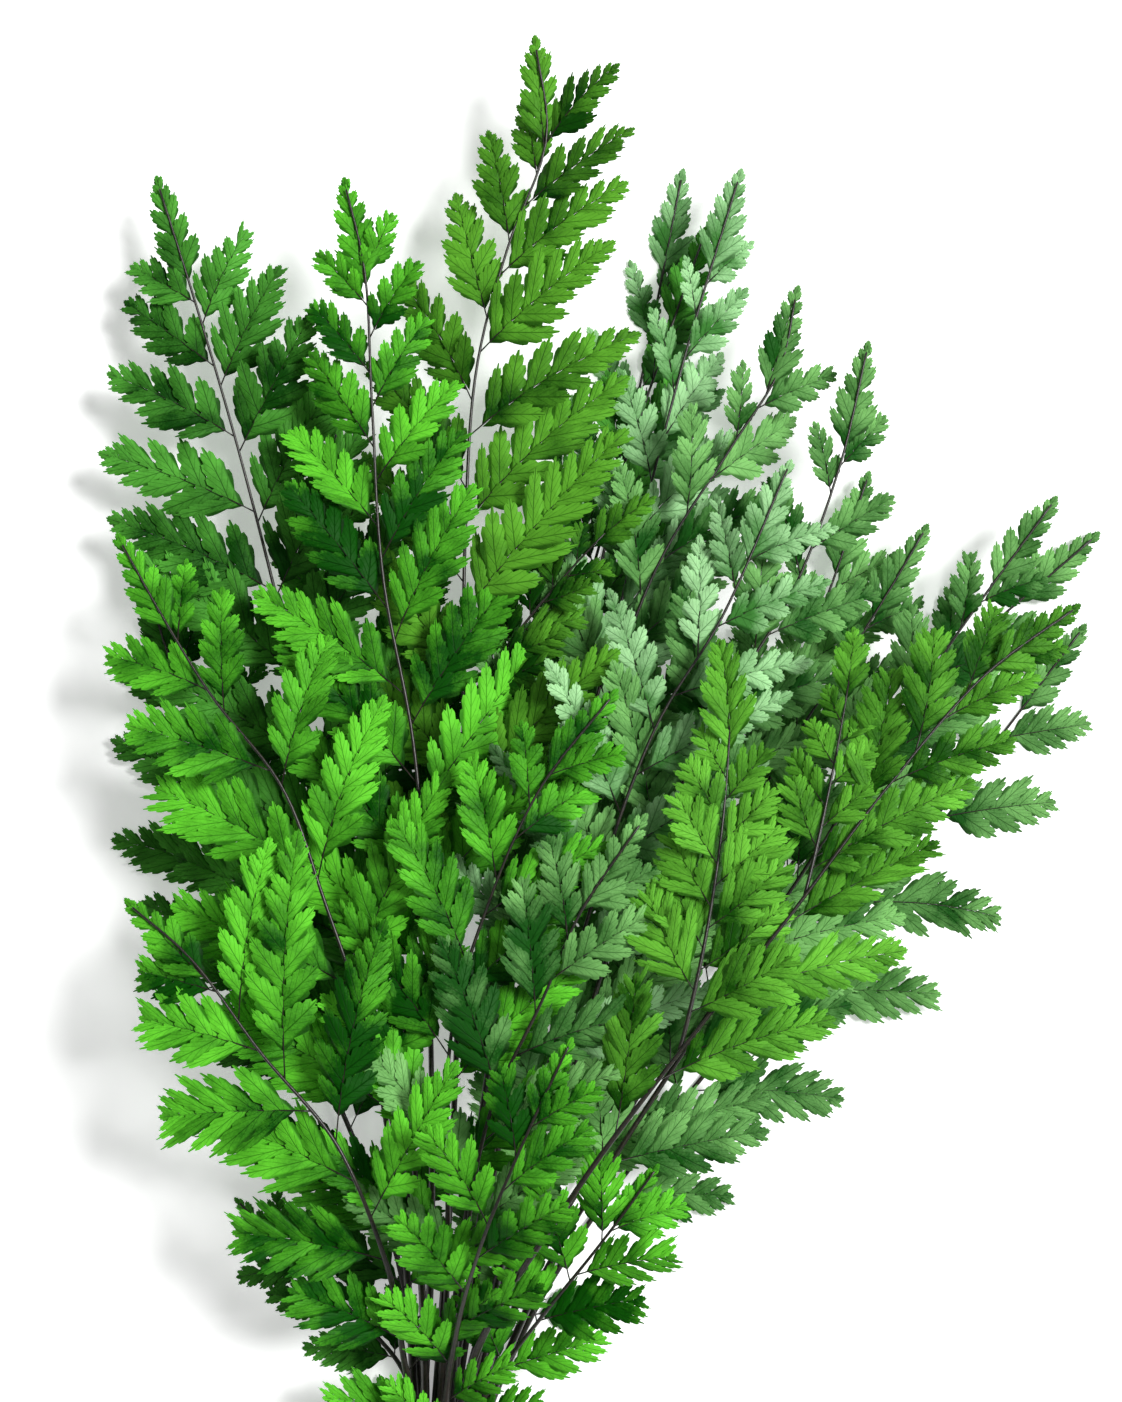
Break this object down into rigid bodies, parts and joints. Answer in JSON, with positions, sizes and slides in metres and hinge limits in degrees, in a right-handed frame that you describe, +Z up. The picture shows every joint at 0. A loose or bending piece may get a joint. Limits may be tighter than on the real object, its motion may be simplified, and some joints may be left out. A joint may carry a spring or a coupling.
{
  "type": "dried fern bunch",
  "caption": "Cut and dried bunch of leatherleaf fern fronds, tied near the cut ends and fanned out flat, for arranging or display.",
  "frame": {"origin": "on the surface the bunch lies on, under the middle of its bounding box", "axes": "+Y along the bunch from the cut ends to the frond tips, +X to the right of the fan seen from above, +Z up from the surface"},
  "size_m": [0.3592, 0.6056, 0.101],
  "materials": {
    "leaf_fresh": "satin",
    "leaf_olive": "satin",
    "leaf_deep": "satin",
    "leaf_soft": "satin",
    "leaf_pale": "satin",
    "leaf_moss": "satin",
    "stem": "gloss",
    "tie": "matte"
  },
  "bodies": {
    "root": {"frond_low_left": "leaf_deep", "frond_left_rear": "leaf_deep", "frond_tall_rear": "leaf_pale", "frond_right_rear_inner": "leaf_soft", "frond_right_rear_outer": "leaf_soft", "frond_low_right": "leaf_soft", "frond_left_top": "leaf_deep", "frond_left_inner": "leaf_deep", "frond_right_top_rear": "leaf_deep", "frond_right_top": "leaf_pale", "frond_right_middle_rear": "leaf_soft", "frond_right_outer": "leaf_soft", "frond_centre_left_tall": "leaf_fresh", "frond_top_centre": "leaf_moss", "frond_right_upper": "leaf_soft", "frond_centre_right": "leaf_pale", "frond_right_middle": "leaf_soft", "frond_left_middle": "leaf_fresh", "frond_centre": "leaf_fresh", "frond_centre_low": "leaf_soft", "frond_low_front": "leaf_fresh", "frond_front_left": "leaf_fresh", "frond_front_right": "leaf_olive", "frond_front_centre": "leaf_fresh", "stem_tie": "tie"}
  },
  "joints": []
}
